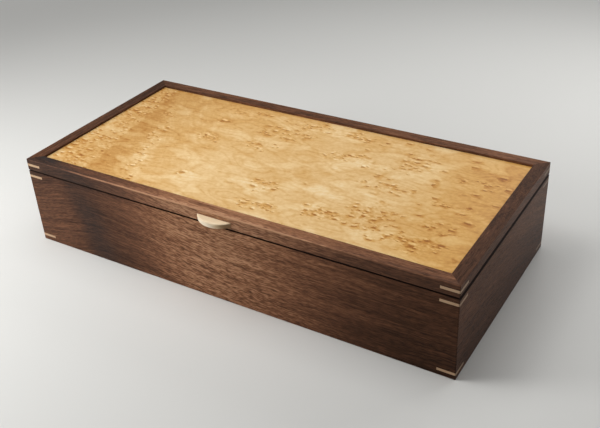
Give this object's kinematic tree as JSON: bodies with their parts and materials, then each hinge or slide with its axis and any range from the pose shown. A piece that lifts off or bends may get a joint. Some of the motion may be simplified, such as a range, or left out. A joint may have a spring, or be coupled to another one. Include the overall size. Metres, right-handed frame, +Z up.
{
  "type": "hinged-lid wooden keepsake box",
  "caption": "Long low walnut box with mitred corners, pale corner keys and a hinged framed lid with a recessed figured maple panel and a half-moon finger pull.",
  "frame": {"origin": "middle of the base of the wooden box, on the plane it rests on", "axes": "+X along the front from its left end to its right end, +Y from the front, which has the finger pull, to the hinged back, +Z up through the lid"},
  "size_m": [0.457, 0.2279, 0.094],
  "materials": {
    "walnut_case": "oiled walnut, satin",
    "walnut_lid": "oiled walnut, satin",
    "figured_maple": "lacquered bird's-eye maple, satin",
    "plain_maple": "oiled plain maple, satin",
    "bottom_board": "lacquered maple board, satin",
    "brass": "machined brass, lacquered",
    "brass_screw": "turned brass"
  },
  "bodies": {
    "case": {"front_wall": "walnut_case", "rear_wall": "walnut_case", "left_wall": "walnut_case", "right_wall": "walnut_case", "bottom_panel": "bottom_board", "upper_key_front_left": "plain_maple", "upper_key_front_right": "plain_maple", "upper_key_rear_right": "plain_maple", "upper_key_rear_left": "plain_maple", "lower_key_front_left": "plain_maple", "lower_key_front_right": "plain_maple", "lower_key_rear_right": "plain_maple", "lower_key_rear_left": "plain_maple", "hinge_case_leaf_left": "brass", "hinge_case_leaf_right": "brass", "hinge_pin_left": "brass", "hinge_pin_right": "brass", "case_hinge_screws": "brass_screw"},
    "lid": {"lid_front_rail": "walnut_lid", "lid_rear_rail": "walnut_lid", "lid_left_rail": "walnut_lid", "lid_right_rail": "walnut_lid", "lid_panel": "figured_maple", "lid_key_front_left": "plain_maple", "lid_key_front_right": "plain_maple", "lid_key_rear_right": "plain_maple", "lid_key_rear_left": "plain_maple", "finger_pull": "plain_maple", "hinge_lid_leaf_left": "brass", "hinge_lid_leaf_right": "brass", "lid_hinge_screws": "brass_screw"}
  },
  "joints": [
    {"name": "lid_hinge", "type": "hinge", "parent": "case", "child": "lid", "pos_m": [0, 0.10925, 0.0816], "axis": [-1, 0, 0], "range_deg": [0, 95]}
  ]
}
